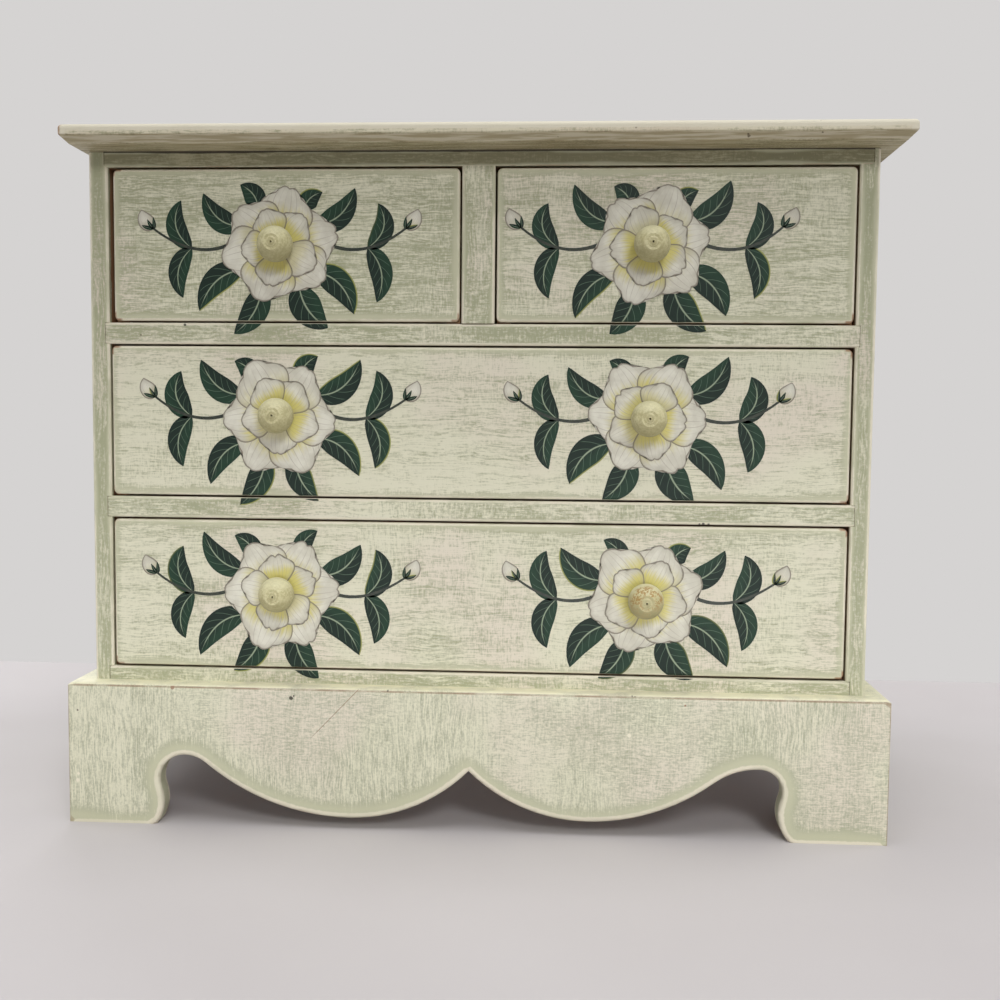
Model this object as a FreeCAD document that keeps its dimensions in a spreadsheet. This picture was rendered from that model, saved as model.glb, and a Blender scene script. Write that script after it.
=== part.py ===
# Painted jewellery chest: two small drawers over two full-width drawers, in a carcass of thin boards
# under a moulded top, standing on a bracket plinth with a hand-cut scalloped front.
# Millimetres, +X to the viewer's right, the drawers face -Y, +Z up, floor at Z = 0.
import FreeCAD, Part
import math
import os
import Sketcher

document = FreeCAD.newDocument("JewelleryChest")

# Driving dimensions
dimensions = {
    "case_width": 350,
    "case_depth": 190,
    "side_thickness": 8.5,
    "shelf_thickness": 9.5,
    "housing_depth": 2,
    "row_height": 69.2,
    "partition_thickness": 14.7,
    "partition_shift": 1,
    "floor_reveal": 6.2,
    "edge_arris": 0.6,
    "top_rail_height": 6.9,
    "top_rail_depth": 22,
    "rail_lap_left": 1.6,
    "rail_lap_right": 6,
    "rail_corner_round": 1.4,
    "back_thickness": 4,
    "back_rebate": 4,
    "top_thickness": 8,
    "top_front_overhang": 17.7,
    "top_side_overhang": 8.4,
    "top_shift": 2.4,
    "top_bevel": 3.4,
    "top_round": 2,
    "nose_round": 1.5,
    "plinth_height": 64.6,
    "plinth_thickness": 9.3,
    "plinth_lap": 25,
    "plinth_arris": 1,
    "cusp_rise": 28.2,
    "cusp_shift": -1,
    "arch_rise": 32.3,
    "left_trough": 54.3,
    "left_trough_rise": 5.2,
    "left_slope_share": 0.87,
    "left_shoulder_round": 11.7,
    "left_foot": 141.5,
    "right_trough": 53,
    "right_trough_rise": 6.6,
    "right_slope_share": 0.74,
    "right_shoulder_round": 10.3,
    "right_foot": 139.5,
    "shoulder_turn": 20,
    "foot_round": 18,
    "side_foot_length": 42,
    "side_arch_rise": 24,
    "side_arch_round": 14,
    "block_width": 18,
    "block_floor_gap": 3,
    "drawer_gap": 0.9,
    "loose_gap": 2.4,
    "run_clearance": 0.3,
    "back_clearance": 1.5,
    "front_thickness": 10,
    "front_lip": 4,
    "front_round": 1.2,
    "drawer_side_thickness": 6,
    "drawer_side_drop": 4,
    "drawer_back_thickness": 6,
    "drawer_floor_thickness": 3,
    "drawer_floor_rise": 4,
    "groove_depth": 3,
    "knob_left": -88.4,
    "knob_right": 77,
    "knob_lift_top": -0.6,
    "knob_lift_middle": 2.6,
    "knob_lift_bottom": 0.9,
    "knob_diameter": 15.8,
    "knob_length": 14.6,
    "knob_belly_place": 7.6,
    "knob_shoulder_inset": 0.9,
    "knob_back_reach": 4,
    "knob_front_reach": 3.7,
    "knob_neck_diameter": 9.4,
    "knob_tip_diameter": 7,
    "screw_diameter": 3,
    "screw_reach": 9,
    "screw_head_diameter": 6.5,
    "screw_head_height": 2,
}

sheet = document.addObject("Spreadsheet::Sheet", "Sizes")
for row, (alias, value) in enumerate(dimensions.items(), start=1):
    sheet.set(f"A{row}", alias)
    sheet.set(f"B{row}", str(value))
    sheet.setAlias(f"B{row}", alias)
document.recompute()


def sized(text):
    # Puts the sheet's name before each alias in an expression written with plain aliases.
    words = text.replace("(", " ( ").replace(")", " ) ").split()
    expression = " ".join(f"Sizes.{word}" if word in dimensions else word for word in words)
    for function in ("cos", "sin", "sqrt"):
        expression = expression.replace(f"{function} (", f"{function}(")
    return expression


def value_of(text):
    return float(sheet.evalExpression(sized(text)))


# How close two places found on a solid are when they are the same
same_place = 0.001

# Planes that several pieces share
front_plane = "( ( top_front_overhang - case_depth ) / 2 )"
inner_half = "( case_width / 2 - side_thickness )"
board_depth = "( case_depth - back_thickness )"
side_foot = "( plinth_height - plinth_lap )"
row_bottom = {}
row_bottom["bottom"] = "( plinth_height + floor_reveal )"
row_bottom["middle"] = f"( {row_bottom['bottom']} + row_height + shelf_thickness )"
row_bottom["top"] = f"( {row_bottom['middle']} + row_height + shelf_thickness )"
rail_bottom = f"( {row_bottom['top']} + row_height )"
case_top = f"( {rail_bottom} + top_rail_height )"
partition_left = "( partition_shift - partition_thickness / 2 )"
partition_right = "( partition_shift + partition_thickness / 2 )"

parts = []
solid_counts = {}


def place(piece, x, y, z, solids=1):
    # Adds a finished sub-part to the list that is written out, at its place in the chest.
    for letter, text in zip("xyz", (x, y, z)):
        piece.setExpression(f"Placement.Base.{letter}", sized(text))
    parts.append(piece)
    solid_counts[piece.Label] = solids
    return piece


def box(name, x, y, z, length, width, height):
    piece = document.addObject("Part::Box", name)
    piece.Label = name
    for side, text in (("Length", length), ("Width", width), ("Height", height)):
        piece.setExpression(side, sized(text))
    return place(piece, x, y, z)


def new_body(name):
    body = document.addObject("PartDesign::Body", name)
    body.Label = name
    return body


def new_sketch(body, plane):
    sketch = body.newObject("Sketcher::SketchObject", f"{body.Name}_sketch")
    support = [item for item in body.Origin.OriginFeatures if item.Role == f"{plane}_Plane"][0]
    sketch.AttachmentSupport = [(support, "")]
    sketch.MapMode = "FlatFace"
    return sketch


def pin_point(sketch, geometry, point, across, up):
    # Dimensions one point from the sketch's origin, bound to the sheet.
    for kind, text in (("DistanceX", across), ("DistanceY", up)):
        index = sketch.addConstraint(Sketcher.Constraint(kind, -1, 1, geometry, point, value_of(text)))
        sketch.setExpression(f"Constraints[{index}]", sized(text))


def vector_of(across, up):
    return FreeCAD.Vector(value_of(across), value_of(up), 0)


def add_arc(sketch, start, end, radius, turn):
    # An arc of under half a turn between two points, counter-clockwise where turn is 1 and clockwise
    # where it is -1. Gives its number in the sketch and its point numbers for start and end.
    length = value_of(radius)
    chord = end - start
    leftward = FreeCAD.Vector(-chord.y, chord.x, 0).normalize()
    offset = math.sqrt(length ** 2 - (chord.Length / 2) ** 2)
    centre = (start + end) * 0.5 + leftward * (turn * offset)
    first, last = (start, end) if turn == 1 else (end, start)
    angles = [math.atan2(point.y - centre.y, point.x - centre.x) for point in (first, last)]
    if angles[1] < angles[0]:
        angles[1] += 2 * math.pi
    circle = Part.Circle(centre, FreeCAD.Vector(0, 0, 1), length)
    arc = sketch.addGeometry(Part.ArcOfCircle(circle, *angles), False)
    index = sketch.addConstraint(Sketcher.Constraint("Radius", arc, length))
    sketch.setExpression(f"Constraints[{index}]", sized(radius))
    return (arc, 1, 2) if turn == 1 else (arc, 2, 1)


def draw_outline(sketch, steps):
    # A closed outline that starts where its last step ends. Each step is the point where an edge
    # ends and, where the edge is an arc, its radius and the way it turns.
    edges = []
    start = vector_of(*steps[-1][:2])
    for across, up, *bend in steps:
        end = vector_of(across, up)
        if bend:
            edges.append(add_arc(sketch, start, end, *bend))
        else:
            edges.append((sketch.addGeometry(Part.LineSegment(start, end), False), 1, 2))
        start = end
    for step, edge, following in zip(steps, edges, edges[1:] + edges[:1]):
        number, first_point, last_point = edge
        sketch.addConstraint(Sketcher.Constraint("Coincident", number, last_point, *following[:2]))
        pin_point(sketch, number, last_point, *step[:2])


def draw_rectangle(sketch, left, bottom, width, height):
    right = f"( {left} + {width} )"
    top = f"( {bottom} + {height} )"
    draw_outline(sketch, [(left, bottom), (right, bottom), (right, top), (left, top)])


def pad(body, sketch, length):
    feature = body.newObject("PartDesign::Pad", f"{body.Name}_pad")
    feature.Profile = sketch
    feature.setExpression("Length", sized(length))
    document.recompute()
    return feature


def cut(body, sketch, depth=None):
    # A pocket that runs into the solid by a depth, or right through it both ways.
    before = body.Shape.Volume
    feature = body.newObject("PartDesign::Pocket", f"{body.Name}_pocket")
    feature.Profile = sketch
    if depth is None:
        feature.Type = "ThroughAll"
        feature.SideType = "Symmetric"
    else:
        feature.setExpression("Length", sized(depth))
    document.recompute()
    if body.Shape.Volume >= before:
        raise RuntimeError(f"{feature.Name} removes nothing")
    return feature


def edges_where(feature, wanted):
    # Names of the edges whose bounding box meets a test.
    return [f"Edge{number}" for number, edge in enumerate(feature.Shape.Edges, start=1) if wanted(edge.BoundBox)]


def dress(body, kind, edges, size):
    # A fillet or chamfer on named edges of the body's last feature.
    if not edges:
        raise RuntimeError(f"{body.Name} has no edge for its {kind}")
    base = body.Tip
    feature = body.newObject(f"PartDesign::{kind}", f"{body.Name}_{kind}")
    feature.Base = (base, edges)
    feature.setExpression("Radius" if kind == "Fillet" else "Size", sized(size))
    document.recompute()
    return feature


def near(one, other):
    return abs(one - other) < same_place


def flat(low, high):
    return high - low < same_place


# Carcass

def make_side(name, hand, rail_lap):
    # hand is 1 for the left board, whose inner face looks along +X, and -1 for the right.
    # The front edge is at y = 0, the outer face at x = 0 and the lower end at z = 0.
    body = new_body(name)
    width = "side_thickness"
    left = "0" if hand == 1 else f"( 0 - {width} )"
    sketch = new_sketch(body, "XY")
    draw_rectangle(sketch, left, "0", width, "case_depth")
    pad(body, sketch, f"{case_top} - {side_foot}")

    def inner_strip(depth):
        return f"( {width} - {depth} )" if hand == 1 else f"( 0 - {width} )"

    housings = new_sketch(body, "XZ")
    for level in ("bottom", "middle", "top"):
        bottom = f"( {row_bottom[level]} - shelf_thickness - {side_foot} )"
        draw_rectangle(housings, inner_strip("housing_depth"), bottom, "housing_depth", "shelf_thickness")
    cut(body, housings)

    rebate = new_sketch(body, "XY")
    draw_rectangle(rebate, inner_strip("back_rebate"), board_depth, "back_rebate", "back_thickness")
    cut(body, rebate)

    rail_end = new_sketch(body, "XZ")
    rail_floor = f"( {rail_bottom} - {side_foot} )"
    draw_rectangle(rail_end, inner_strip(rail_lap), rail_floor, rail_lap, "top_rail_height")
    pocket = cut(body, rail_end, "top_rail_depth")

    corner_x = hand * value_of(f"{width} - {rail_lap}")
    corner_z = value_of(rail_floor)

    def rail_corner(span):
        level = flat(span.XMin, span.XMax) and flat(span.ZMin, span.ZMax)
        return level and near(span.XMin, corner_x) and near(span.ZMin, corner_z)

    rounded = dress(body, "Fillet", edges_where(pocket, rail_corner), "rail_corner_round")
    inner_x = hand * value_of(width)

    def front_upright(span):
        upright = flat(span.XMin, span.XMax) and flat(span.YMin, span.YMax) and near(span.YMin, 0)
        return upright and (near(span.XMin, 0) or near(span.XMin, inner_x))

    dress(body, "Chamfer", edges_where(rounded, front_upright), "edge_arris")
    place(body, f"0 - {hand} * case_width / 2", front_plane, side_foot)


def make_board(name, left, bottom, width, height, depth, softened):
    # A board with its front edge at y = 0 and that edge's named long corners taken off.
    body = new_body(name)
    sketch = new_sketch(body, "XY")
    draw_rectangle(sketch, "0", "0", width, depth)
    feature = pad(body, sketch, height)
    dress(body, "Chamfer", edges_where(feature, softened), "edge_arris")
    place(body, left, front_plane, bottom)
    return body


def front_long_edge(span):
    return near(span.YMin, 0) and flat(span.YMin, span.YMax) and flat(span.ZMin, span.ZMax)


def front_upright_edge(span):
    return near(span.YMin, 0) and flat(span.YMin, span.YMax) and flat(span.XMin, span.XMax)


def make_shelves():
    left = f"0 - {inner_half} - housing_depth"
    width = f"( 2 * {inner_half} + 2 * housing_depth )"
    for name, level in (("bottom_board", "bottom"), ("shelf_lower", "middle"), ("shelf_upper", "top")):
        bottom = f"{row_bottom[level]} - shelf_thickness"
        make_board(name, left, bottom, width, "shelf_thickness", board_depth, front_long_edge)


def make_partition():
    height = f"{case_top} - {row_bottom['top']}"
    body = make_board("partition", partition_left, row_bottom["top"], "partition_thickness", height,
                      board_depth, front_upright_edge)
    notch = new_sketch(body, "XZ")
    draw_rectangle(notch, "0", "row_height", "partition_thickness", "top_rail_height")
    cut(body, notch, "top_rail_depth")


def make_top_rail():
    body = new_body("top_rail")
    width = f"( 2 * {inner_half} + rail_lap_left + rail_lap_right )"
    sketch = new_sketch(body, "XY")
    draw_rectangle(sketch, "0", "0", width, "top_rail_depth")
    feature = pad(body, sketch, "top_rail_height")

    def lower_end(span):
        return flat(span.XMin, span.XMax) and flat(span.ZMin, span.ZMax) and near(span.ZMin, 0)

    dress(body, "Fillet", edges_where(feature, lower_end), "rail_corner_round")
    place(body, f"0 - {inner_half} - rail_lap_left", front_plane, rail_bottom)


def make_back_panel():
    left = f"0 - {inner_half} - back_rebate"
    width = f"2 * {inner_half} + 2 * back_rebate"
    box("back_panel", left, f"{front_plane} + {board_depth}", side_foot, width, "back_thickness",
        f"{case_top} - {side_foot}")


def make_top_board():
    # The board's under edge is bevelled and its upper edge rounded on the three sides that show.
    body = new_body("top_board")
    half = "( case_width / 2 + top_side_overhang )"
    sketch = new_sketch(body, "XY")
    draw_rectangle(sketch, f"( 0 - {half} )", "( 0 - top_front_overhang )", f"( 2 * {half} )",
                   "( case_depth + top_front_overhang )")
    feature = pad(body, sketch, "top_thickness")
    back = value_of("case_depth")
    top = value_of("top_thickness")
    bevel = value_of("top_bevel")

    def outer_at(height):
        def test(span):
            level = near(span.ZMin, height) and near(span.ZMax, height)
            return level and not near(span.YMin, back)
        return test

    feature = dress(body, "Chamfer", edges_where(feature, outer_at(0)), "top_bevel")
    feature = dress(body, "Fillet", edges_where(feature, outer_at(top)), "top_round")
    dress(body, "Fillet", edges_where(feature, outer_at(bevel)), "nose_round")
    place(body, "top_shift", front_plane, case_top)


# Plinth

def scallop_half(side, sign):
    # Half of the scalloped edge, from the cusp in the middle out to the foot: an arc down into a
    # trough, an ogee up to an arch, its round shoulder, and the foot's bulging inner edge down to
    # the floor. Gives the points and the arcs between them as radius and turn for a path to the right.
    foot = f"{side}_foot"
    floor = f"{side}_trough_rise"
    rounding = f"{side}_shoulder_round"
    share = f"{side}_slope_share"
    drop = f"( cusp_rise - {floor} )"
    run = f"( {foot} - {rounding} - {side}_trough )"
    rise = f"( arch_rise - {floor} )"
    ogee_radii = f"( ( {run} ^ 2 + {rise} ^ 2 ) / ( 2 * {rise} ) )"
    reach = f"( {rounding} + foot_round )"
    foot_centre_across = f"( {foot} - {rounding} + {reach} * cos ( shoulder_turn ) )"
    foot_centre_up = f"( arch_rise - {rounding} - {reach} * sin ( shoulder_turn ) )"
    points = [
        ("0", "cusp_rise"),
        (f"{side}_trough", floor),
        (f"( {side}_trough + {share} * {run} )", f"( {floor} + {share} * {rise} )"),
        (f"( {foot} - {rounding} )", "arch_rise"),
        (f"( {foot} - {rounding} + {rounding} * cos ( shoulder_turn ) )",
         f"( arch_rise - {rounding} - {rounding} * sin ( shoulder_turn ) )"),
        (f"( {foot_centre_across} - sqrt ( foot_round ^ 2 - {foot_centre_up} ^ 2 ) )", "0"),
    ]
    arcs = [
        (f"( ( {side}_trough ^ 2 + {drop} ^ 2 ) / ( 2 * {drop} ) )", 1),
        (f"( {share} * {ogee_radii} )", 1),
        (f"( ( 1 - {share} ) * {ogee_radii} )", -1),
        (rounding, -1),
        ("foot_round", 1),
    ]
    return [(f"( cusp_shift {sign} {across} )", up) for across, up in points], arcs


def cut_mitres(body, triangles):
    sketch = new_sketch(body, "XY")
    for corners in triangles:
        draw_outline(sketch, corners)
    cut(body, sketch)


def make_plinth_front():
    body = new_body("plinth_front")
    sketch = new_sketch(body, "XZ")
    half = "( case_width / 2 + plinth_thickness )"
    left_points, left_arcs = scallop_half("left", "-")
    right_points, right_arcs = scallop_half("right", "+")
    to_cusp = zip(left_points[-2::-1], left_arcs[::-1])
    from_cusp = zip(right_points[1:], right_arcs)
    steps = [point + arc for point, arc in [*to_cusp, *from_cusp]]
    steps += [(half, "0"), (half, "plinth_height"), (f"( 0 - {half} )", "plinth_height"), (f"( 0 - {half} )", "0")]
    draw_outline(sketch, steps + [left_points[-1]])
    feature = pad(body, sketch, "plinth_thickness")
    face = value_of("0 - plinth_thickness")
    end = value_of(half)

    def front_edge(span):
        upright_end = flat(span.XMin, span.XMax) and near(abs(span.XMin), end)
        foot = near(span.ZMax, 0)
        return near(span.YMin, face) and near(span.YMax, face) and not upright_end and not foot

    dress(body, "Chamfer", edges_where(feature, front_edge), "plinth_arris")
    wall = "case_width / 2"
    ends = []
    for sign in ("", "0 - "):
        inner = f"( {sign}{wall} )"
        outer = f"( {sign}{half} )"
        ends.append([(inner, "0"), (outer, "0"), (outer, "( 0 - plinth_thickness )")])
    cut_mitres(body, ends)
    place(body, "0", front_plane, "0")


def make_plinth_side(name, hand):
    # The sketch plane is the board's left face: the outer one on the left, the inner on the right.
    body = new_body(name)
    sketch = new_sketch(body, "YZ")
    draw_rectangle(sketch, "( 0 - plinth_thickness )", "0", "( case_depth + plinth_thickness )", "plinth_height")
    pad(body, sketch, "plinth_thickness")
    arch = new_sketch(body, "YZ")
    arch_length = "( case_depth + plinth_thickness - 2 * side_foot_length )"
    draw_rectangle(arch, "( side_foot_length - plinth_thickness )", "0", arch_length, "side_arch_rise")
    feature = cut(body, arch)
    rise = value_of("side_arch_rise")

    def arch_corner(span):
        across = flat(span.YMin, span.YMax) and flat(span.ZMin, span.ZMax)
        return across and near(span.ZMin, rise)

    feature = dress(body, "Fillet", edges_where(feature, arch_corner), "side_arch_round")
    outer = 0 if hand == 1 else value_of("plinth_thickness")
    front = value_of("0 - plinth_thickness")
    back = value_of("case_depth")

    def outer_edge(span):
        upright_end = flat(span.YMin, span.YMax) and (near(span.YMin, front) or near(span.YMin, back))
        foot = near(span.ZMax, 0)
        return near(span.XMin, outer) and near(span.XMax, outer) and not upright_end and not foot

    dress(body, "Chamfer", edges_where(feature, outer_edge), "plinth_arris")
    tip = ("0", "( 0 - plinth_thickness )")
    far_tip = ("plinth_thickness", "( 0 - plinth_thickness )")
    inner = ("plinth_thickness", "0") if hand == 1 else ("0", "0")
    cut_mitres(body, [[tip, far_tip, inner]])
    left = "0 - case_width / 2 - plinth_thickness" if hand == 1 else "case_width / 2"
    place(body, left, front_plane, "0")


def make_corner_blocks():
    # Glue blocks in the plinth's corners; the ends of the case sides stand on them.
    for x_name, x in (("left", "0 - case_width / 2"), ("right", "case_width / 2 - block_width")):
        for y_name, y in (("front", front_plane), ("back", f"{front_plane} + {board_depth} - block_width")):
            box(f"corner_block_{y_name}_{x_name}", x, y, "block_floor_gap", "block_width", "block_width",
                f"{side_foot} - block_floor_gap")


# Drawers

def make_drawer_front(name, width, height, knob_places):
    # The face is at y = 0; behind it the ends are rebated for the sides and a groove holds the floor.
    body = new_body(name)
    sketch = new_sketch(body, "XY")
    draw_rectangle(sketch, "0", "0", width, "front_thickness")
    feature = pad(body, sketch, height)

    def face_edge(span):
        return near(span.YMin, 0) and near(span.YMax, 0)

    dress(body, "Fillet", edges_where(feature, face_edge), "front_round")

    rebates = new_sketch(body, "XY")
    rebate_depth = "( front_thickness - front_lip )"
    for left in ("0", f"( {width} - drawer_side_thickness )"):
        draw_rectangle(rebates, left, "front_lip", "drawer_side_thickness", rebate_depth)
    cut(body, rebates)

    groove = new_sketch(body, "YZ")
    groove_bottom = "( run_clearance + drawer_floor_rise - drawer_gap )"
    groove_front = "( front_thickness - groove_depth )"
    draw_rectangle(groove, groove_front, groove_bottom, "groove_depth", "drawer_floor_thickness")
    cut(body, groove)

    holes = new_sketch(body, "XZ")
    for across, up in knob_places:
        radius = value_of("screw_diameter / 2")
        circle = Part.Circle(vector_of(across, up), FreeCAD.Vector(0, 0, 1), radius)
        hole = holes.addGeometry(circle, False)
        pin_point(holes, hole, 3, across, up)
        index = holes.addConstraint(Sketcher.Constraint("Radius", hole, radius))
        holes.setExpression(f"Constraints[{index}]", sized("screw_diameter / 2"))
    cut(body, holes)
    return body


def make_drawer_side(name, hand, length, height):
    # Outer face at x = 0, front end at y = 0; the groove for the floor is in the inner face.
    body = new_body(name)
    left = "0" if hand == 1 else "( 0 - drawer_side_thickness )"
    sketch = new_sketch(body, "XY")
    draw_rectangle(sketch, left, "0", "drawer_side_thickness", length)
    pad(body, sketch, height)
    groove = new_sketch(body, "XZ")
    groove_left = "( drawer_side_thickness - groove_depth )" if hand == 1 else left
    draw_rectangle(groove, groove_left, "drawer_floor_rise", "groove_depth", "drawer_floor_thickness")
    cut(body, groove)
    return body


def make_knob(name, count):
    # Ball knob, revolved about the Y axis from its narrow neck on the drawer front over its belly to
    # the flat tip, with a bore behind for its screw.
    sketch, body = new_turning(name)
    belly = "( knob_diameter / 2 )"
    round_shoulder = "( knob_diameter / 2 - knob_shoulder_inset )"
    draw_outline(sketch, [
        ("knob_neck_diameter / 2", "0"),
        (round_shoulder, "( knob_back_reach - knob_belly_place )"),
        (belly, "( 0 - knob_belly_place )"),
        (round_shoulder, "( 0 - knob_belly_place - knob_front_reach )"),
        ("knob_tip_diameter / 2", "( 0 - knob_length )"),
        ("0", "( 0 - knob_length )"),
        ("0", "( 0 - screw_reach )"),
        ("screw_diameter / 2", "( 0 - screw_reach )"),
        ("screw_diameter / 2", "0"),
    ])
    revolve(body, sketch, count)
    return body


def make_screw(name, count):
    # Screw through the drawer front into the knob, revolved about the Y axis.
    sketch, body = new_turning(name)
    crown = "( front_thickness + screw_head_height )"
    draw_outline(sketch, [
        ("0", "( 0 - screw_reach )"),
        ("screw_diameter / 2", "( 0 - screw_reach )"),
        ("screw_diameter / 2", "front_thickness"),
        ("screw_head_diameter / 2", "front_thickness"),
        ("screw_head_diameter / 2", crown),
        ("0", crown),
    ])
    revolve(body, sketch, count)
    return body


def new_turning(name):
    body = new_body(name)
    return new_sketch(body, "XY"), body


def revolve(body, sketch, count):
    # Turns the profile about the Y axis and, where a drawer has two knobs, repeats it at the other.
    turning = body.newObject("PartDesign::Revolution", f"{body.Name}_turn")
    turning.Profile = sketch
    turning.ReferenceAxis = (sketch, ["V_Axis"])
    turning.Angle = 360
    document.recompute()
    if count > 1:
        body.AllowCompound = True
        pattern = body.newObject("PartDesign::LinearPattern", f"{body.Name}_pair")
        pattern.Originals = [turning]
        pattern.Direction = (sketch, ["H_Axis"])
        pattern.Occurrences = count
        pattern.setExpression("Length", sized("knob_right - knob_left"))
        body.Tip = pattern
        document.recompute()


def make_drawer(name, level, opening_left, opening_right, left_gap, knobs):
    # A drawer that fills its opening but for named gaps: front, two sides, back, floor, and a knob
    # with its screw at each place along X in knobs.
    bottom = row_bottom[level]
    left = f"( {opening_left} + {left_gap} )"
    width = f"( {opening_right} - {opening_left} - {left_gap} - drawer_gap )"
    face_height = "( row_height - 2 * drawer_gap )"
    face_bottom = f"( {bottom} + drawer_gap )"
    knob_up = f"( row_height / 2 + knob_lift_{level} )"
    knob_places = [(f"( {across} - {left} )", f"( {knob_up} - drawer_gap )") for across in knobs]
    face = make_drawer_front(f"{name}_front", width, face_height, knob_places)
    place(face, left, front_plane, face_bottom)

    side_bottom = f"( {bottom} + run_clearance )"
    side_height = "( row_height - drawer_gap - run_clearance - drawer_side_drop )"
    side_front = f"( {front_plane} + front_lip )"
    side_length = f"( {board_depth} - back_clearance - front_lip )"
    side = make_drawer_side(f"{name}_side_left", 1, side_length, side_height)
    place(side, left, side_front, side_bottom)
    side = make_drawer_side(f"{name}_side_right", -1, side_length, side_height)
    place(side, f"{left} + {width}", side_front, side_bottom)

    floor_bottom = f"( {side_bottom} + drawer_floor_rise )"
    floor_top = f"( {floor_bottom} + drawer_floor_thickness )"
    inner_left = f"( {left} + drawer_side_thickness )"
    inner_width = f"( {width} - 2 * drawer_side_thickness )"
    floor_front = f"( {front_plane} + front_thickness - groove_depth )"
    floor_length = f"( {board_depth} - back_clearance - front_thickness + groove_depth )"
    box(f"{name}_floor", f"{inner_left} - groove_depth", floor_front, floor_bottom,
        f"{inner_width} + 2 * groove_depth", floor_length, "drawer_floor_thickness")
    back_front = f"{front_plane} + {board_depth} - back_clearance - drawer_back_thickness"
    box(f"{name}_back", inner_left, back_front, floor_top, inner_width, "drawer_back_thickness",
        f"{side_height} - drawer_floor_rise - drawer_floor_thickness")

    ending = "s" if len(knobs) > 1 else ""
    knob = make_knob(f"{name}_knob{ending}", len(knobs))
    screw = make_screw(f"{name}_screw{ending}", len(knobs))
    for turned in (knob, screw):
        place(turned, knobs[0], front_plane, f"{bottom} + {knob_up}", len(knobs))


def make_drawers():
    case_left = f"( 0 - {inner_half} )"
    pair = ["knob_left", "knob_right"]
    make_drawer("drawer_top_left", "top", case_left, partition_left, "loose_gap", pair[:1])
    make_drawer("drawer_top_right", "top", partition_right, inner_half, "drawer_gap", pair[1:])
    make_drawer("drawer_middle", "middle", case_left, inner_half, "drawer_gap", pair)
    make_drawer("drawer_bottom", "bottom", case_left, inner_half, "drawer_gap", pair)


make_side("side_left", 1, "rail_lap_left")
make_side("side_right", -1, "rail_lap_right")
make_shelves()
make_partition()
make_top_rail()
make_back_panel()
make_top_board()
make_plinth_front()
make_plinth_side("plinth_left", 1)
make_plinth_side("plinth_right", -1)
make_corner_blocks()
make_drawers()

document.recompute()
failed = [item.Name for item in document.Objects if {"Invalid", "Error"} & set(item.State)]
if failed:
    raise RuntimeError(f"failed objects: {failed}")
for piece in parts:
    shape = piece.Shape
    if shape.isNull() or not shape.isValid() or len(shape.Solids) != solid_counts[piece.Label]:
        raise RuntimeError(f"{piece.Label} isn't valid or hasn't its number of solids")

os.makedirs("parts", exist_ok=True)
for piece in parts:
    piece.Shape.exportStep(f"parts/{piece.Label}.step")
print(len(parts), "sub-parts written")
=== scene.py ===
import math
import random
import bpy
import bmesh
import numpy as np
from mathutils import Matrix, Vector


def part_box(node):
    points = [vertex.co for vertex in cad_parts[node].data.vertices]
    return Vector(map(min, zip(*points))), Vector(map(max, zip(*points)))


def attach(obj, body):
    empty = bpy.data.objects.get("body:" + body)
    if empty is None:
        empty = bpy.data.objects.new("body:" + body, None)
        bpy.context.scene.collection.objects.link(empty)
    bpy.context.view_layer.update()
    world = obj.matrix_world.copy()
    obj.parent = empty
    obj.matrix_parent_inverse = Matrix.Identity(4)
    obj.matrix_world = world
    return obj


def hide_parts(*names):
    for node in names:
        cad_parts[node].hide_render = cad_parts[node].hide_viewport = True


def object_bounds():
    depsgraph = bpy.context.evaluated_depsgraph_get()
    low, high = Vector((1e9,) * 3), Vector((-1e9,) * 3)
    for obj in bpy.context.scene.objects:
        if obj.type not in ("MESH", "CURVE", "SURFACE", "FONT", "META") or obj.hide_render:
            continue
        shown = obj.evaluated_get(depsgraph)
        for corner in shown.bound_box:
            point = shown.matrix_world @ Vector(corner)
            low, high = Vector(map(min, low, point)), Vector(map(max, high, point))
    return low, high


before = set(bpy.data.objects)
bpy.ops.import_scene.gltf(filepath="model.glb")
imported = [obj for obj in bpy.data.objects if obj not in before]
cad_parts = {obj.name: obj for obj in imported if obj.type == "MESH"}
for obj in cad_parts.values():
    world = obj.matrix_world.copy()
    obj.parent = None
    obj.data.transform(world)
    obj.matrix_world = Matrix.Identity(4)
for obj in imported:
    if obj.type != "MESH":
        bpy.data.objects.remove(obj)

mm = 0.001
caseLow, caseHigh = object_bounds()
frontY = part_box("side_left")[0][1]          # plane of the case's front
drawers = ["drawer_top_left", "drawer_top_right", "drawer_middle", "drawer_bottom"]
print("frame loaded:", len(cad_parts), "nodes")


# Edit-mode helpers

def deselectAll():
    if bpy.context.object and bpy.context.object.mode != "OBJECT":
        bpy.ops.object.mode_set(mode="OBJECT")
    bpy.ops.object.select_all(action="DESELECT")


def makeActive(piece):
    deselectAll()
    piece.select_set(True)
    bpy.context.view_layer.objects.active = piece


def editMesh(piece):
    makeActive(piece)
    bpy.ops.object.mode_set(mode="EDIT")
    bpy.ops.mesh.select_all(action="SELECT")


def cutAcross(axis, place, **clearing):
    # Cuts everything in edit mode by a plane across an axis.
    point = [place if other == axis else 0 for other in range(3)]
    normal = [int(other == axis) for other in range(3)]
    bpy.ops.mesh.select_all(action="SELECT")
    bpy.ops.mesh.bisect(plane_co=point, plane_no=normal, **clearing)


def leaveEdit():
    bpy.ops.object.mode_set(mode="OBJECT")


def startDisc(sides, radius, turn):
    # A round face at the origin, turned about x and left in edit mode, selected.
    bpy.ops.mesh.primitive_circle_add(vertices=sides, radius=radius, fill_type="NGON",
                                      rotation=(turn, 0, 0))
    disc = bpy.context.object
    applyPlace(disc)
    editMesh(disc)
    return disc


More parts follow.
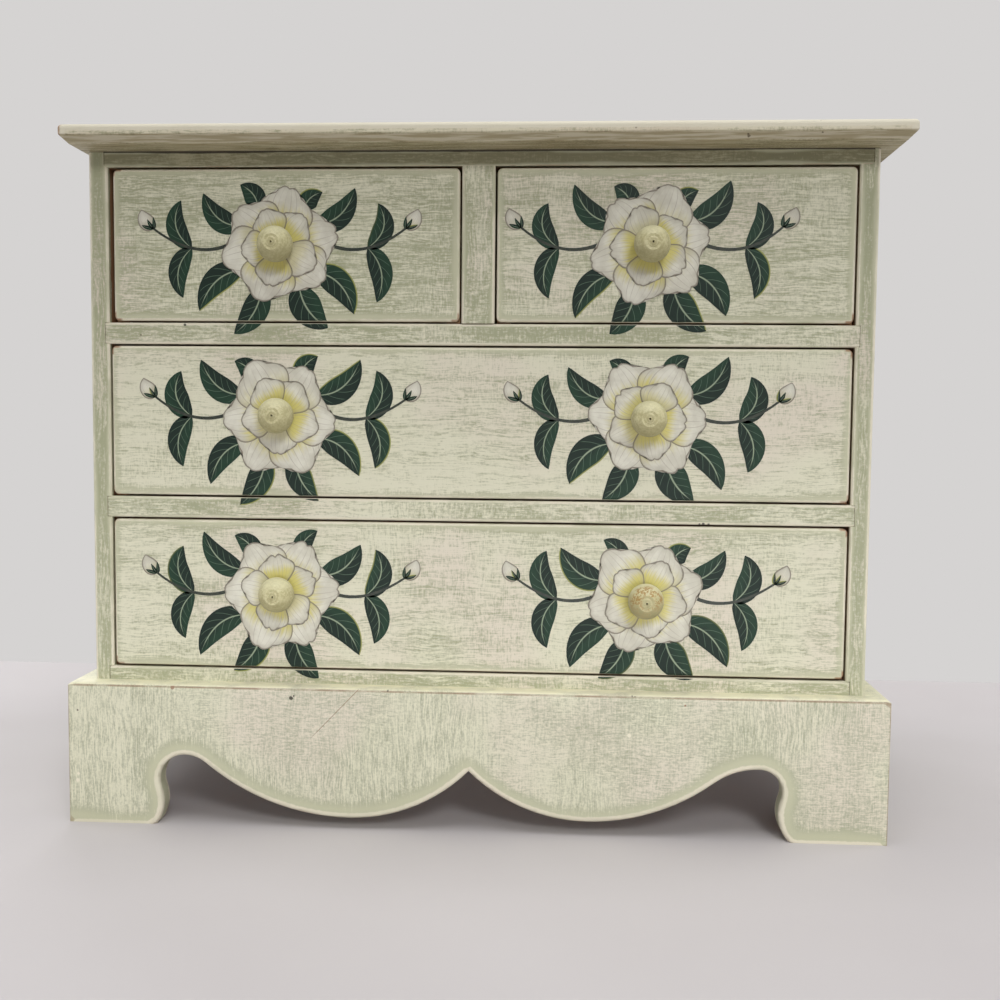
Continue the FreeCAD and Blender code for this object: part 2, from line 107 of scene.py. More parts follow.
def drawOut(step, ratio, centreY):
    # Draws the selected face out along y by a step and resizes it about its centre.
    bpy.ops.mesh.extrude_region_move(TRANSFORM_OT_translate={"value": (0, step, 0)})
    bpy.ops.transform.resize(value=(ratio, 1, ratio), center_override=(0, centreY, 0))


def closeForm():
    bpy.ops.mesh.select_all(action="SELECT")
    bpy.ops.mesh.normals_make_consistent(inside=False)
    leaveEdit()


def applyPlace(piece):
    makeActive(piece)
    bpy.ops.object.transform_apply(location=True, rotation=True, scale=True)


def namePiece(piece, name):
    piece.name = name
    piece.data.name = name


def copyPiece(piece, name):
    twin = piece.copy()
    twin.data = piece.data.copy()
    namePiece(twin, name)
    bpy.context.scene.collection.objects.link(twin)
    return twin


def joinPieces(pieces, name):
    deselectAll()
    for piece in pieces:
        piece.select_set(True)
    bpy.context.view_layer.objects.active = pieces[0]
    bpy.ops.object.join()
    namePiece(pieces[0], name)
    return pieces[0]


def smoothBoard(piece, angle=35):
    # Soft shading round the arrises only: the flats keep their own direction.
    makeActive(piece)
    bpy.ops.object.shade_smooth_by_angle(angle=math.radians(angle))
    even = piece.modifiers.new("flats", "WEIGHTED_NORMAL")
    even.keep_sharp = True
    even.weight = 100
    bpy.ops.object.modifier_apply(modifier="flats")


def giveMaterial(piece, material):
    piece.data.materials.clear()
    piece.data.materials.append(material)


# Node helpers: they add to the material begun last, and most return an output socket

building = {"tree": None}


def linear(red, green, blue):
    # A colour as it is read off a screen, from 0 to 255, in the renderer's linear values.
    parts = []
    for part in (red, green, blue):
        part = part / 255
        parts.append(part / 12.92 if part <= 0.04045 else ((part + 0.055) / 1.055) ** 2.4)
    return (*parts, 1)


def beginNodes(owner, shaderName):
    owner.use_nodes = True
    building["tree"] = owner.node_tree
    return owner.node_tree.nodes[shaderName]


def newMaterial(name):
    begun = bpy.data.materials.new(name)
    return begun, beginNodes(begun, "Principled BSDF")


def plug(node, sockets):
    # Links a node's sockets to other sockets, or sets them to plain values.
    for key, value in sockets.items():
        if isinstance(value, bpy.types.NodeSocket):
            building["tree"].links.new(value, node.inputs[key])
        else:
            node.inputs[key].default_value = value


def addNode(kind, sockets=None, **settings):
    node = building["tree"].nodes.new(kind)
    for key, value in settings.items():
        setattr(node, key, value)
    plug(node, sockets or {})
    return node


def calc(operation, *values):
    return addNode("ShaderNodeMath", dict(enumerate(values)), operation=operation).outputs[0]


def times(value, *factors):
    for factor in factors:
        value = calc("MULTIPLY", value, factor)
    return value


def timesPlus(value, factor, rest):
    return calc("MULTIPLY_ADD", value, factor, rest)


def vectorCalc(operation, *values):
    node = addNode("ShaderNodeVectorMath", dict(enumerate(values)), operation=operation)
    return node.outputs["Value" if operation in ("LENGTH", "DISTANCE", "DOT_PRODUCT") else "Vector"]


def ramp(value, start, end, low=0.0, high=1.0):
    sockets = {"Value": value, "From Min": start, "From Max": end, "To Min": low, "To Max": high}
    return addNode("ShaderNodeMapRange", sockets, interpolation_type="SMOOTHSTEP").outputs[0]


def mixColour(factor, first, second, blend="MIX"):
    sockets = {0: factor, 6: first, 7: second}
    return addNode("ShaderNodeMix", sockets, data_type="RGBA", blend_type=blend).outputs[2]


def objectPlace():
    return addNode("ShaderNodeTexCoord").outputs["Object"]


def objectNormal():
    return addNode("ShaderNodeTexCoord").outputs["Normal"]


def layerPlace(name):
    return addNode("ShaderNodeUVMap", uv_map=name).outputs[0]


def measured(name):
    return addNode("ShaderNodeAttribute", attribute_name=name).outputs["Fac"]


def splitPlace(place):
    return addNode("ShaderNodeSeparateXYZ", {0: place}).outputs


def noise(place, scale=1.0, detail=2.0, roughness=0.5):
    sockets = {"Vector": place, "Scale": scale, "Detail": detail, "Roughness": roughness}
    return addNode("ShaderNodeTexNoise", sockets).outputs[0]


def drawnNoise(place, lengths, detail=2.0, roughness=0.5, turn=0.0):
    # Noise drawn out along the axes: one unit of it is as long as given along x, y and z.
    sockets = {"Vector": place, "Rotation": (0, turn, 0), "Scale": tuple(1 / length for length in lengths)}
    return noise(addNode("ShaderNodeMapping", sockets).outputs[0], 1.0, detail, roughness)


def lengthsAlong(axis, long, wide):
    return [long if other == axis else wide for other in "xyz"]


def finishPaint(shader, colour, roughness, height, relief, strength=0.6):
    # Colour, roughness and a bump of the given relief go to the shader.
    bump = addNode("ShaderNodeBump", {"Height": height, "Distance": relief, "Strength": strength})
    plug(shader, {"Base Color": colour, "Roughness": roughness, "Normal": bump.outputs[0]})


# Camera, light and floor

view = {"place": (0.04197, -0.60008, 0.18484), "yaw": 0.0590, "pitch": 0.0678, "roll": 0.009,
        "focal": 1150, "imageWidth": 1000, "sensor": 36, "nearest": 0.01}


def setCamera():
    turn = Matrix.Rotation(view["yaw"], 4, "Z") @ Matrix.Rotation(math.pi / 2 - view["pitch"], 4, "X")
    data = bpy.data.cameras.new("photoCamera")
    data.sensor_width = view["sensor"]
    data.lens = view["focal"] / view["imageWidth"] * view["sensor"]
    data.clip_start = view["nearest"]
    camera = bpy.data.objects.new("photoCamera", data)
    camera.matrix_world = Matrix.Translation(view["place"]) @ turn @ Matrix.Rotation(view["roll"], 4, "Z")
    bpy.context.scene.collection.objects.link(camera)
    bpy.context.scene.camera = camera


softboxes = {
    "key": {"power": 8.5, "size": (0.4, 0.4), "place": (0.5, -1.5, 1.1), "aim": (0, -0.05, 0.15)},
    "ceiling": {"power": 27, "size": (1.6, 1.6), "place": (0.05, -0.5, 2.2), "aim": (0.05, -0.45, 0)},
    "low": {"power": 0.23, "size": (0.9, 0.12), "place": (0.05, -0.55, 0.09), "aim": (0, -0.1, 0.06),
            "spread": 55},
    "back": {"power": 12, "size": (1.2, 1.0), "place": (-0.4, 1.3, 0.6), "aim": (0, 0, 0.1)},
    "left": {"power": 7, "size": (1.0, 1.0), "place": (-1.6, 0.25, 0.8), "aim": (0, 0, 0.15)},
    "right": {"power": 7, "size": (1.0, 1.0), "place": (1.6, 0.25, 0.8), "aim": (0, 0, 0.15)},
}
air = {"colour": (0.95, 0.93, 0.93, 1), "strength": 0.19, "seenStrength": 1.0}
floorLook = {"colour": linear(194, 189, 190), "pale": linear(200, 196, 197), "wall": linear(213, 211, 210),
             "cloud": 9.0, "roughness": 0.9, "reach": 3.0, "fadeFrom": 1.1, "fadeTo": 2.4,
             "wallY": 0.24, "wallHeight": 2.0}


def addSoftbox(name, power, size, place, aim, spread=180):
    data = bpy.data.lights.new(name, "AREA")
    data.energy = power
    data.shape = "RECTANGLE"
    data.size, data.size_y = size
    data.spread = math.radians(spread)
    lamp = bpy.data.objects.new(name, data)
    lamp.visible_camera = False
    direction = Vector(aim) - Vector(place)
    lamp.matrix_world = Matrix.Translation(place) @ direction.to_track_quat("-Z", "Y").to_matrix().to_4x4()
    bpy.context.scene.collection.objects.link(lamp)


def lightScene():
    # Softboxes, and air that has the wall's colour to the camera and in gloss.
    for name, softbox in softboxes.items():
        addSoftbox(f"{name}Light", **softbox)
    world = bpy.data.worlds.new("studio")
    bpy.context.scene.world = world
    shader = beginNodes(world, "Background")
    rays = addNode("ShaderNodeLightPath").outputs
    seen = calc("MAXIMUM", rays["Is Camera Ray"], rays["Is Glossy Ray"])
    strength = ramp(seen, 0, 1, air["strength"], air["seenStrength"])
    plug(shader, {"Strength": strength, "Color": mixColour(seen, air["colour"], floorLook["wall"])})


def showBackdrop(surface, amount):
    # Seen by the camera, the surface gives way to the plain colour of the wall.
    seen = addNode("ShaderNodeLightPath").outputs["Is Camera Ray"]
    wall = addNode("ShaderNodeEmission", {"Color": floorLook["wall"], "Strength": 1.0}).outputs[0]
    mix = addNode("ShaderNodeMixShader", {0: times(amount, seen), 1: surface, 2: wall})
    plug(building["tree"].nodes["Material Output"], {"Surface": mix.outputs[0]})


def layFloor():
    bpy.ops.mesh.primitive_plane_add(size=2 * floorLook["reach"], location=(0, 0, 0))
    floor = bpy.context.object
    floor.name = "floor"
    material, shader = newMaterial("floorPaper")
    place = objectPlace()
    cloud = noise(place, floorLook["cloud"], 3.0)
    tone = mixColour(cloud, floorLook["colour"], floorLook["pale"])
    plug(shader, {"Base Color": tone, "Roughness": floorLook["roughness"]})
    away = vectorCalc("LENGTH", place)
    showBackdrop(shader.outputs[0], ramp(away, floorLook["fadeFrom"], floorLook["fadeTo"]))
    giveMaterial(floor, material)


def standWall():
    # A plain wall behind, which only the camera sees, and only from the front.
    bpy.ops.mesh.primitive_plane_add(size=1, rotation=(math.pi / 2, 0, 0))
    wall = bpy.context.object
    wall.name = "wall"
    wall.scale = (2 * floorLook["reach"], floorLook["wallHeight"], 1)
    wall.location = (0, floorLook["wallY"], floorLook["wallHeight"] / 2)
    applyPlace(wall)
    material, _ = newMaterial("wallPaper")
    clear = addNode("ShaderNodeBsdfTransparent").outputs[0]
    behind = addNode("ShaderNodeNewGeometry").outputs["Backfacing"]
    showBackdrop(clear, calc("SUBTRACT", 1.0, behind))
    giveMaterial(wall, material)


setCamera()
lightScene()
layFloor()
standWall()
print("camera, light and floor set")


# Paint

paint = {
    "ground": linear(164, 166, 135), "halo": linear(193, 193, 164), "cream": linear(219, 217, 193),
    "blush": linear(220, 212, 194), "arris": linear(223, 217, 196), "rust": linear(148, 102, 66),
    "grimeAndShade": linear(88, 76, 54), "edgeBrown": linear(134, 106, 76), "undersideShade": linear(186, 179, 158),
    "crackAndSeamShadow": linear(40, 33, 24), "drop": linear(232, 226, 206), "dullDrop": linear(230, 224, 204),
    "chip": linear(150, 118, 92), "redChip": linear(150, 110, 84),
    "stroke": (9.5 * mm, 0.85 * mm), "band": (75 * mm, 7 * mm), "comb": (38 * mm, 0.5 * mm),
    "roughness": 0.6, "bump": 0.12 * mm,
}

# What a board's look may change. The first line says how strongly each kind of brush mark shows. bare
# is how strongly the band beside an arris stays plain, soft the blur of the cream's outline, fine the
# strokes' width and lean their turn. rub is the width of a rubbed arris in mm, and each mark has its
# x, z and size in mm and a colour of the paint.
plainLook = {
    "strokes": 0.45, "cross": 0.3, "turned": 0.12, "grain": 0.3, "patches": 0.35, "bands": 0.2, "comb": 0.2,
    "bare": 0.2, "soft": 0.11, "fine": 1.0, "lean": 0.0,
    "ground": paint["ground"], "cream": (paint["cream"], paint["blush"]),
    "rub": 1.0, "rubLeast": 0.25, "rust": 0.6, "flecks": 0.0, "butted": None, "marks": (), "scratches": (),
}


def boxDepths(place, low, high):
    # How deep a point lies behind the box's faces along x, y and z.
    centre = [(a + b) / 2 for a, b in zip(low, high)]
    half = [(b - a) / 2 for a, b in zip(low, high)]
    size = vectorCalc("ABSOLUTE", vectorCalc("SUBTRACT", place, centre))
    return splitPlace(vectorCalc("SUBTRACT", half, size))


def edgeDistance(depths, butted):
    # Distance to the nearest arris on a box's faces: the middle one of its three depths. A board
    # that butts against others at its ends has arrises along its length only.
    x, y, z = depths
    if butted:
        return calc("MAXIMUM", y, z if butted == "x" else x)
    smaller = calc("MINIMUM", x, y)
    larger = calc("MAXIMUM", x, y)
    return calc("MAXIMUM", smaller, calc("MINIMUM", larger, z))


def wander(place, scale, reach):
    # Bends a place to and fro, so that brush marks aren't ruled lines.
    drift = addNode("ShaderNodeTexNoise", {"Vector": place, "Scale": scale, "Detail": 1.0})
    push = vectorCalc("MULTIPLY", drift.outputs[1], (reach,) * 3)
    return vectorCalc("ADD", place, push)


def brushedPaint(place, edge, look):
    # Green ground with cream dry-brushed over it, along one axis and lightly across it, and left
    # plain beside the arrises. Returns the colour and the height of the brush marks.
    along, lean, halo = look["along"], look["lean"], look["halo"]
    across = "z" if along == "x" else "x"
    long, wide = paint["stroke"][0], paint["stroke"][1] * look["fine"]
    bent = wander(place, 50.0, 4 * mm)
    heights = {
        "strokes": drawnNoise(bent, lengthsAlong(along, long, wide), 4.0, 0.7, lean),
        "cross": drawnNoise(bent, lengthsAlong(across, long * 0.6, wide * 0.9), 4.0, 0.7),
        "grain": noise(place, 900.0, 2.0, 0.7),
        "patches": noise(place, 26.0, 3.0, 0.6),
        "bands": drawnNoise(bent, lengthsAlong(along, *paint["band"])),
        "comb": drawnNoise(bent, lengthsAlong(along, *paint["comb"]), 2.0, 0.6, lean),
    }
    fade = ramp(timesPlus(heights["patches"], 5 * mm, edge), halo * 0.3 + 2 * mm, halo + 2 * mm)
    heights["bare"] = fade
    turnedHere = ramp(noise(place, 15.0, 1.0), 0.42, 0.62, -0.25, look["turned"])
    level = times(calc("SUBTRACT", heights["cross"], heights["strokes"]), turnedHere)
    for key, height in heights.items():
        level = timesPlus(height, look[key], level)
    shares = sum(look[key] for key in ("patches", "cross", "bands", "comb"))
    middle = 0.86 + shares / 2 + look["bare"] - look["cover"]          # above it the cream has taken
    amount = ramp(level, middle - look["soft"], middle + look["soft"])
    ground = mixColour(fade, paint["halo"], look["ground"])
    cream = mixColour(ramp(noise(place, 17.0, 2.0), 0.45, 0.65), *look["cream"])
    return mixColour(amount, ground, cream), level


def wearArrises(place, edge, wornEdge, colour, look):
    # Cream rubbed through along the arrises, and reddish wood in a thin line where it wore furthest.
    speckle = noise(place, 420.0, 4.0, 0.7)
    broad = noise(place, 38.0, 3.0, 0.6)
    rough = timesPlus(speckle, 1.1 * mm, edge)
    rubbed = ramp(rough, (look["rub"] + 0.95) * mm, (look["rub"] + 0.3) * mm)
    often = ramp(broad, 0.36, 0.56, look["rubLeast"], 1.0)
    colour = mixColour(times(rubbed, often), colour, paint["arris"])
    worn = ramp(timesPlus(speckle, 0.5 * mm, wornEdge), 0.66 * mm, 0.36 * mm)
    worn = times(worn, ramp(broad, 0.5, 0.6, 0, look["rust"]))
    return mixColour(worn, colour, paint["rust"])


def mark(place, colour, spot, size, tone):
    # One small mark, such as a nail hole or a drop of paint, round a spot on the front.
    apart = vectorCalc("DISTANCE", place, spot)
    apart = timesPlus(noise(place, 900.0), size * 0.8 * mm, apart)
    return mixColour(ramp(apart, size * 1.4 * mm, size * 1.1 * mm, 0, 0.9), colour, tone)


def scratch(place, colour, start, end):
    # A fine straight scratch on the front that fades out towards its ends.
    along = Vector((end[0] - start[0], 0, end[1] - start[1]))
    length = along.length * mm
    along.normalize()
    first = Vector((start[0], 0, start[1])) * mm
    spans = []
    for direction in (along, Vector((along.z, 0, -along.x))):
        reached = vectorCalc("DOT_PRODUCT", place, tuple(direction))
        spans.append(calc("SUBTRACT", reached, first.dot(direction)))
    line = ramp(calc("ABSOLUTE", spans[1]), 0.24 * mm, 0.1 * mm, 0, 0.75)
    line = times(line, ramp(spans[0], 0, length * 0.3), ramp(spans[0], length, length * 0.97))
    return mixColour(line, colour, paint["edgeBrown"])


def fleck(place, colour, share):
    # A few small dark specks and chips.
    spots = noise(place, 210.0)
    return mixColour(ramp(spots, 0.80 - share, 0.83 - share, 0, 0.8), colour, paint["grimeAndShade"])


def darkenJoint(place, colour, end):
    # A dark line where a board's end butts against another board.
    ragged = timesPlus(noise(place, 300.0), 0.5 * mm, end)
    return mixColour(ramp(ragged, 0.75 * mm, 0.4 * mm, 0, 0.75), colour, paint["grimeAndShade"])


def paintLedgeHighlight(place, colour, rise, tone):
    # Painted highlight: upward faces made lighter, as if lit from above.
    flat = times(ramp(rise, 0.6, 0.8), ramp(noise(place, 90.0, 3.0, 0.6), 0.35, 0.6, 0.35, 0.95))
    return mixColour(flat, colour, tone)


def outlineArrises(place, colour, edge, worn, rise, strength):
    # A broken brown line along the arrises, on the upright and downward faces and off the scallops.
    line = times(ramp(worn, 0.5 * mm, 0.2 * mm, 0, strength), ramp(rise, 0.8, 0.5),
                 ramp(edge, 1 * mm, 2 * mm), ramp(noise(place, 60.0, 3.0, 0.6), 0.36, 0.56, 0.4, 1))
    return mixColour(line, colour, paint["edgeBrown"])


def wearCorners(place, colour, edge, depths, reach):
    # Wood that shows on some of the corners where two depths of a board are small.
    corner = timesPlus(noise(place, 240.0, 3.0), 3 * mm, calc("MAXIMUM", *depths))
    corner = times(ramp(corner, (reach + 2.4) * mm, (reach + 1) * mm, 0, 0.8),
                   ramp(edge, 1.3 * mm, 0.7 * mm), ramp(noise(place, 9.0, 1.0), 0.42, 0.52))
    return mixColour(corner, colour, paint["rust"])


def darkenSeamWithShadow(place, colour, top, strength):
    # A dark line of uneven width under the board above: a dark joint deepened with painted shadow.
    gap = calc("SUBTRACT", top, splitPlace(place)[2])
    gap = timesPlus(noise(place, 120.0, 3.0), 0.5 * mm, gap)
    gap = calc("SUBTRACT", gap, ramp(noise(place, 12.0, 1.0), 0.4, 0.65, 0, 0.5 * mm))
    return mixColour(ramp(gap, 0.95 * mm, 0.6 * mm, 0, strength), colour, paint["crackAndSeamShadow"])


def shadeUndersidePainted(place, colour, rise, strength):
    # Painted shade: downward faces darkened in streaks, as if less lit from above.
    streaks = drawnNoise(place, (24 * mm, 1.2 * mm, 1.2 * mm), 3.0, 0.6)
    down = times(ramp(rise, -0.1, -0.6, 0, strength), ramp(streaks, 0.4, 0.6, 0.55, 1.0))
    return mixColour(down, colour, paint["undersideShade"], "MULTIPLY")


wood = {
    "pale": linear(178, 140, 104), "dark": linear(142, 102, 72), "roughness": 0.7, "bump": 0.15 * mm,
    "fibre": (45 * mm, 0.8 * mm), "ring": (180 * mm, 5 * mm),
}


def woodColour(place, along):
    fibres = drawnNoise(place, lengthsAlong(along, *wood["fibre"]), 4.0, 0.65)
    figure = drawnNoise(place, lengthsAlong(along, *wood["ring"]))
    tone = timesPlus(fibres, 0.6, times(figure, 0.6))
    return mixColour(ramp(tone, 0.45, 0.75), wood["dark"], wood["pale"]), fibres


def bareWood(name, along):
    material, shader = newMaterial(name)
    colour, fibres = woodColour(objectPlace(), along)
    finishPaint(shader, colour, wood["roughness"], fibres, wood["bump"])
    return material


def paintedWood(name, node, look):
    # Paint on a board. look gives the brush's axis, the halo, the cover, and where the paint ends:
    # how deep behind the front plane it reaches, and a face direction that stays bare.
    look = {**plainLook, **look}
    material, shader = newMaterial(name)
    place = objectPlace()
    low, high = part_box(node)
    if "edgeName" in look:
        edge, worn = measured(look["edgeName"]), measured(look["wornName"])
    else:
        depths = boxDepths(place, low, high)
        edge = worn = edgeDistance(depths, look["butted"])
    colour, height = brushedPaint(place, edge, look)
    colour = wearArrises(place, edge, worn, colour, look)
    rise = splitPlace(objectNormal())[2]
    if look["butted"]:
        colour = darkenJoint(place, colour, depths["xyz".index(look["butted"])])
    # Painted highlight on upward faces.
    if "ledgeHighlight" in look:
        colour = paintLedgeHighlight(place, colour, rise, look["ledgeHighlight"])
    if "outline" in look:
        colour = outlineArrises(place, colour, edge, worn, rise, look["outline"])
    if "cornerWear" in look:
        *axes, reach = look["cornerWear"]
        cornerDepths = [depths["xyz".index(axis)] for axis in axes]
        colour = wearCorners(place, colour, edge, cornerDepths, reach)
    # Painted shadow in the seam under the board above.
    if "seamShadow" in look:
        colour = darkenSeamWithShadow(place, colour, high[2], look["seamShadow"])
    # Painted shade on downward faces.
    if "paintedUnderShade" in look:
        colour = shadeUndersidePainted(place, colour, rise, look["paintedUnderShade"])
    for x, z, size, tone in look["marks"]:
        colour = mark(place, colour, (x * mm, low[1], z * mm), size, paint[tone])
    for start, end in look["scratches"]:
        colour = scratch(place, colour, start, end)
    colour = fleck(place, colour, look["flecks"])
    masks = []
    if "paintDepth" in look:
        depth = calc("SUBTRACT", splitPlace(place)[1], frontY + look["paintDepth"])
        ragged = timesPlus(noise(place, 160.0, 3.0), 3 * mm, depth)
        masks.append(ramp(ragged, 1 * mm, 2 * mm))
    if "bareFace" in look:
        facing = vectorCalc("DOT_PRODUCT", objectNormal(), look["bareFace"])
        masks.append(ramp(facing, 0.6, 0.8))
    if masks:
        colour = mixColour(times(*masks), colour, woodColour(place, look["along"])[0])
    finishPaint(shader, colour, paint["roughness"], height, paint["bump"], 0.7)
    return material


uprightBoard = {"along": "z", "butted": "z", "halo": 3 * mm, "paintDepth": 3 * mm}
flatBoard = {"along": "x", "butted": "x", "halo": 2 * mm, "paintDepth": 3 * mm}
boardLooks = {
    "side_left": {**uprightBoard, "cover": 0.42, "bareFace": (1, 0, 0),
                  "cream": (linear(210, 208, 184), linear(210, 202, 184))},
    "side_right": {**uprightBoard, "cover": 0.45, "bareFace": (-1, 0, 0),
                   "cream": (linear(214, 212, 188), linear(214, 206, 188))},
    "bottom_board": {**flatBoard, "cover": 0.46, "flecks": 0.03},
    "shelf_lower": {**flatBoard, "cover": 0.49,
                    "marks": ((100.6, 140.0, 0.8, "crackAndSeamShadow"), (102.3, 140.1, 0.9, "crackAndSeamShadow"),
                              (104.6, 139.9, 0.8, "crackAndSeamShadow"), (106.6, 139.9, 0.5, "crackAndSeamShadow"))},
    "shelf_upper": {**flatBoard, "cover": 0.46,
                    "marks": ((-131.6, 227.4, 0.7, "crackAndSeamShadow"), (-151.9, 222.6, 0.45, "grimeAndShade"))},
    "partition": {**uprightBoard, "cover": 0.46},
    # The top rail's darker ground and cream are painted shade from the board above it.
    "top_rail": {**flatBoard, "cover": 0.44, "seamShadow": 0.9, "rub": 0.1,
                 "ground": linear(142, 140, 110), "cream": (linear(180, 176, 146), linear(172, 165, 136))},
    # The top board's wide, nearly unbroken pale band along its arrises is rubbed paint and partly a painted
    # highlight on the nose.
    "top_board": {"along": "x", "halo": 1 * mm, "cover": 0.54, "flecks": 0.06, "rub": 3.0, "rubLeast": 0.8,
                  "outline": 0.25, "paintedUnderShade": 1.0, "cornerWear": ("x", "y", 0.4),
                  "ground": linear(166, 162, 131), "cream": (linear(220, 214, 188), linear(215, 205, 181))},
}
for node, look in boardLooks.items():
    giveMaterial(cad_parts[node], paintedWood(f"paint_{node}", node, look))
for drawer in drawers:
    for part, along in (("side_left", "y"), ("side_right", "y"), ("floor", "x"), ("back", "x")):
        giveMaterial(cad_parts[f"{drawer}_{part}"], bareWood(f"wood_{drawer}_{part}", along))
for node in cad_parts:
    if node.startswith("corner_block") or node == "back_panel":
        giveMaterial(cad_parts[node], bareWood(f"wood_{node}", "z"))
print("boards painted")


# Drawer fronts: the CAD board with its four corners eased

front = {"corner": 2.3 * mm, "cuts": 5,
         "cover": {"drawer_top_left": 0.48, "drawer_top_right": 0.51, "drawer_middle": 0.57,
                   "drawer_bottom": 0.55},
         "look": {"along": "x", "halo": 5 * mm, "paintDepth": 1.4 * mm, "bands": 0.3, "rust": 0.8,
                  "soft": 0.13, "cross": 0.4, "fine": 0.75, "patches": 0.2, "comb": 0.4,
                  "cornerWear": ("x", "z", 3.5)}}


def easeCorners(piece, low, high):
    # Extra cuts beside each corner, then every point there is drawn in on to a round of its own depth.
    radius = front["corner"]
    editMesh(piece)
    for step in range(1, front["cuts"] + 1):
        inset = radius * step / front["cuts"]
        for axis in (0, 2):
            for place in (low[axis] + inset, high[axis] - inset):
                cutAcross(axis, place)
    leaveEdit()
    for vertex in piece.data.vertices:
        centre = [min(max(vertex.co[axis], low[axis] + radius), high[axis] - radius) for axis in (0, 2)]
        step = [vertex.co.x - centre[0], vertex.co.z - centre[1]]
        if step[0] and step[1]:
            ratio = max(abs(step[0]), abs(step[1])) / math.hypot(*step)
            vertex.co.x = centre[0] + step[0] * ratio
            vertex.co.z = centre[1] + step[1] * ratio


def looseCopy(node, pieceName):
    # A copy of a CAD board with its points merged, free of the frame's own keys.
    piece = copyPiece(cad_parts[node], pieceName)
    for key in list(piece.keys()):
        if key.startswith("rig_"):
            del piece[key]
    editMesh(piece)
    bpy.ops.mesh.remove_doubles(threshold=0.001 * mm)
    bpy.ops.mesh.dissolve_limited(angle_limit=math.radians(0.5))
    leaveEdit()
    return piece


for drawer in drawers:
    node = f"{drawer}_front"
    piece = looseCopy(node, f"frontBoard_{drawer}")
    easeCorners(piece, *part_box(node))
    smoothBoard(piece)
    look = {**front["look"], "cover": front["cover"][drawer]}
    giveMaterial(piece, paintedWood(f"paint_{node}", node, look))
    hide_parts(node)
    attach(piece, drawer)
print("drawer fronts eased")


# Plinth: a finer copy of each board that knows how far each point is from its arrises

plinth = {
    "cell": 3 * mm, "sharp": math.radians(30), "rim": 2 * mm,
    "look": {"along": "z", "halo": 8.5 * mm, "cover": 0.51, "lean": math.radians(8), "cross": 0.22,
             "rub": 1.3, "rubLeast": 0.7, "rust": 0.12, "fine": 0.75, "outline": 0.7, "bands": 0.1,
             "patches": 0.22, "turned": 0.3, "soft": 0.125, "ground": linear(168, 170, 144),
             "ledgeHighlight": linear(235, 231, 200), "edgeName": "scallopDistance", "wornName": "arrisDistance"},
    "frontWear": {
        "marks": ((-81.4, 59.8, 1.0, "crackAndSeamShadow"), (-80.2, 60.8, 0.5, "crackAndSeamShadow"), (-180.0, 52.0, 0.5, "grimeAndShade"),
                  (-37.5, 64.4, 0.9, "crackAndSeamShadow"), (-36.2, 64.5, 0.8, "crackAndSeamShadow"), (-135.8, 63.4, 1.1, "chip"),
                  (70.5, 46.5, 1.0, "drop"), (-180.4, 19.4, 1.0, "dullDrop"),
                  (-180.1, 22.5, 0.8, "dullDrop"), (95.0, 60.5, 0.5, "redChip"),
                  (71.5, 64.5, 0.9, "crackAndSeamShadow"), (72.8, 64.3, 0.7, "crackAndSeamShadow")),
        "scratches": (((-75.1, 38.9), (-50.5, 64.6)),)},
}


def cutGrid(piece, cell):
    editMesh(piece)
    low = [min(corner[axis] for corner in piece.bound_box) for axis in range(3)]
    high = [max(corner[axis] for corner in piece.bound_box) for axis in range(3)]
    for axis in range(3):
        count = int((high[axis] - low[axis]) / cell)
        for step in range(1, count):
            cutAcross(axis, low[axis] + step * (high[axis] - low[axis]) / count)
    leaveEdit()


def measureArrises(piece, name, counts):
    # Writes each vertex's distance to the nearest sharp edge that counts as an attribute.
    mesh = bmesh.new()
    mesh.from_mesh(piece.data)
    ends = np.array([[vertex.co[:] for vertex in edge.verts] for edge in mesh.edges
                     if len(edge.link_faces) == 2 and edge.calc_face_angle() > plinth["sharp"]
                     and counts(*(vertex.co for vertex in edge.verts))])
    mesh.free()
    starts, spans = ends[:, 0], ends[:, 1] - ends[:, 0]
    squares = np.maximum((spans ** 2).sum(1), 1e-18)
    distances = []
    for vertex in piece.data.vertices:
        offset = np.array(vertex.co[:]) - starts
        share = np.clip((offset * spans).sum(1) / squares, 0, 1)
        distances.append(float(np.sqrt(((offset - spans * share[:, None]) ** 2).sum(1).min())))
    attribute = piece.data.attributes.new(name, "FLOAT", "POINT")
    attribute.data.foreach_set("value", distances)


def makePlinthBoard(node, pieceName, run, **ownLook):
    # run is the axis along the board, 0 for x and 1 for y.
    piece = looseCopy(node, pieceName)
    low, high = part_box(node)
    cutGrid(piece, plinth["cell"])

    def onScallop(first, second):
        middle = (first + second) / 2
        outer = min(middle[run] - low[run], high[run] - middle[run]) < plinth["rim"]
        return middle.z < high[2] - plinth["rim"] and not outer

    look = {**plinth["look"], **ownLook}
    measureArrises(piece, look["wornName"], lambda first, second: True)
    measureArrises(piece, look["edgeName"], onScallop)
    smoothBoard(piece)
    giveMaterial(piece, paintedWood(f"paint_{pieceName}", node, look))
    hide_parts(node)
    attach(piece, "case")


makePlinthBoard("plinth_front", "plinthFront", 0, bareFace=(0, 1, 0), **plinth["frontWear"])
makePlinthBoard("plinth_left", "plinthLeft", 1, bareFace=(1, 0, 0))
makePlinthBoard("plinth_right", "plinthRight", 1, bareFace=(-1, 0, 0))
print("plinth finished")


# Knobs

knob = {
    "neck": 4.7 * mm, "belly": 7.9 * mm, "bellyAt": 7.6 * mm, "length": 14.6 * mm, "tip": 3.5 * mm,
    "rings": 22, "sides": 64, "step": 0.09 * mm, "grooveIn": 2.4 * mm, "dome": 0.3 * mm,
    "pin": 0.55 * mm, "pinDepth": 1.2 * mm, "roughness": 0.5, "bump": 0.2 * mm,
    "paint": linear(208, 202, 158), "shade": linear(182, 175, 130), "rust": linear(160, 124, 60),
    "upper": linear(232, 228, 190), "under": linear(146, 139, 94), "groove": linear(140, 130, 88),
    "rusty": ("drawer_bottom", 1),
}


